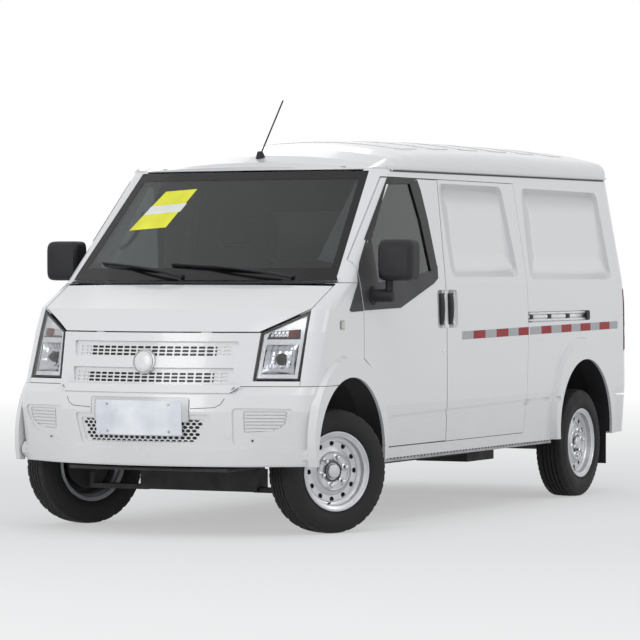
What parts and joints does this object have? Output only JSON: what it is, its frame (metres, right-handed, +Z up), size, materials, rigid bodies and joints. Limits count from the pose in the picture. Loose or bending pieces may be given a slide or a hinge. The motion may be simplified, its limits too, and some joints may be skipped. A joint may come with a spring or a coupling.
{
  "type": "electric delivery van",
  "caption": "Small electric panel van with short sloped bonnet, blind load bay, sliding side doors, top-hinged tailgate, swinging front doors, steered front wheels and rolling wheels.",
  "frame": {"origin": "on the ground under the middle of the van, bottom centre of its box", "axes": "+Z up, nose towards -Y, +X to the driver side, which is the left of the van"},
  "size_m": [2.094, 4.4998, 2.1764],
  "materials": {
    "body_paint": "gloss white paint",
    "black_plastic": "grained black plastic",
    "glass": "tinted glass",
    "lamp_clear": "clear lens over chrome",
    "lamp_red": "red lens",
    "tyre": "black rubber",
    "rim": "silver paint",
    "chassis": "black underbody paint",
    "cab_plastic": "dark grained plastic",
    "seat_fabric": "woven fabric",
    "inner_metal": "grey inner paint"
  },
  "bodies": {
    "root": {"antenna": "black_plastic", "battery_pack": "chassis", "bumper_front": "body_paint", "bumper_rear": "body_paint", "cowl": "black_plastic", "dashboard": "cab_plastic", "fender_left": "body_paint", "fender_right": "body_paint", "firewall": "inner_metal", "floor": "inner_metal", "front_panel": "body_paint", "front_suspension": "chassis", "headlamps": "lamp_clear", "leaf_springs": "chassis", "mud_flaps": "black_plastic", "partition": "inner_metal", "rear_axle": "chassis", "roof": "body_paint", "seats": "seat_fabric", "side_left": "body_paint", "side_right": "body_paint", "slide_handles": "black_plastic", "sliding_door_left": "body_paint", "sliding_door_right": "body_paint", "steering_column": "cab_plastic", "tail_lamps": "lamp_red", "wheel_liners": "black_plastic", "windscreen": "glass", "wipers": "black_plastic"},
    "hood": {"hood": "body_paint"},
    "door_left": {"door_left": "body_paint", "door_glass_left": "glass", "mirror_left": "black_plastic", "door_handle_left": "black_plastic"},
    "door_right": {"door_right": "body_paint", "door_glass_right": "glass", "mirror_right": "black_plastic", "door_handle_right": "black_plastic"},
    "tailgate": {"tailgate": "body_paint", "tailgate_glass": "glass"},
    "steering_wheel": {"steering_wheel": "cab_plastic"},
    "knuckle_left": {"knuckle_left": "chassis"},
    "knuckle_right": {"knuckle_right": "chassis"},
    "wheel_front_left": {"tyre_front_left": "tyre", "rim_front_left": "rim"},
    "wheel_front_right": {"tyre_front_right": "tyre", "rim_front_right": "rim"},
    "wheel_rear_left": {"tyre_rear_left": "tyre", "rim_rear_left": "rim"},
    "wheel_rear_right": {"tyre_rear_right": "tyre", "rim_rear_right": "rim"}
  },
  "joints": [
    {"name": "hood_hinge", "type": "hinge", "parent": "root", "child": "hood", "pos_m": [0, -1.577, 1.228], "axis": [1, 0, 0], "range_deg": [-50, 0]},
    {"name": "door_left_hinge", "type": "hinge", "parent": "root", "child": "door_left", "pos_m": [0.8215, -1.465, 1], "axis": [0, 0, -1], "range_deg": [0, 62]},
    {"name": "door_right_hinge", "type": "hinge", "parent": "root", "child": "door_right", "pos_m": [-0.8215, -1.465, 1], "axis": [0, 0, 1], "range_deg": [0, 62]},
    {"name": "tailgate_hinge", "type": "hinge", "parent": "root", "child": "tailgate", "pos_m": [0, 2.132, 1.786], "axis": [1, 0, 0], "range_deg": [0, 80]},
    {"name": "steering", "type": "hinge", "parent": "root", "child": "steering_wheel", "pos_m": [0.37, -1.24, 1.2], "axis": [0, 0.6157, 0.788], "range_deg": [-112, 1008]},
    {"name": "steer_left", "type": "hinge", "parent": "root", "child": "knuckle_left", "pos_m": [0.64, -1.57, 0.305], "axis": [0, 0, 1], "range_deg": [-7, 63]},
    {"name": "steer_right", "type": "hinge", "parent": "root", "child": "knuckle_right", "pos_m": [-0.64, -1.57, 0.305], "axis": [0, 0, 1], "range_deg": [-7, 63]},
    {"name": "roll_front_left", "type": "hinge", "parent": "knuckle_left", "child": "wheel_front_left", "pos_m": [0.70799, -1.60615, 0.305], "axis": [0.8829, -0.4695, 0], "continuous": true},
    {"name": "roll_front_right", "type": "hinge", "parent": "knuckle_right", "child": "wheel_front_right", "pos_m": [-0.70799, -1.53385, 0.305], "axis": [0.8829, -0.4695, 0], "continuous": true},
    {"name": "roll_rear_left", "type": "hinge", "parent": "root", "child": "wheel_rear_left", "pos_m": [0.717, 1.48, 0.305], "axis": [1, 0, 0], "continuous": true},
    {"name": "roll_rear_right", "type": "hinge", "parent": "root", "child": "wheel_rear_right", "pos_m": [-0.717, 1.48, 0.305], "axis": [1, 0, 0], "continuous": true}
  ],
  "couplings": [
    {"joint": "steer_left", "follows": "steering", "ratio": 0.0625},
    {"joint": "steer_right", "follows": "steering", "ratio": 0.0625}
  ]
}
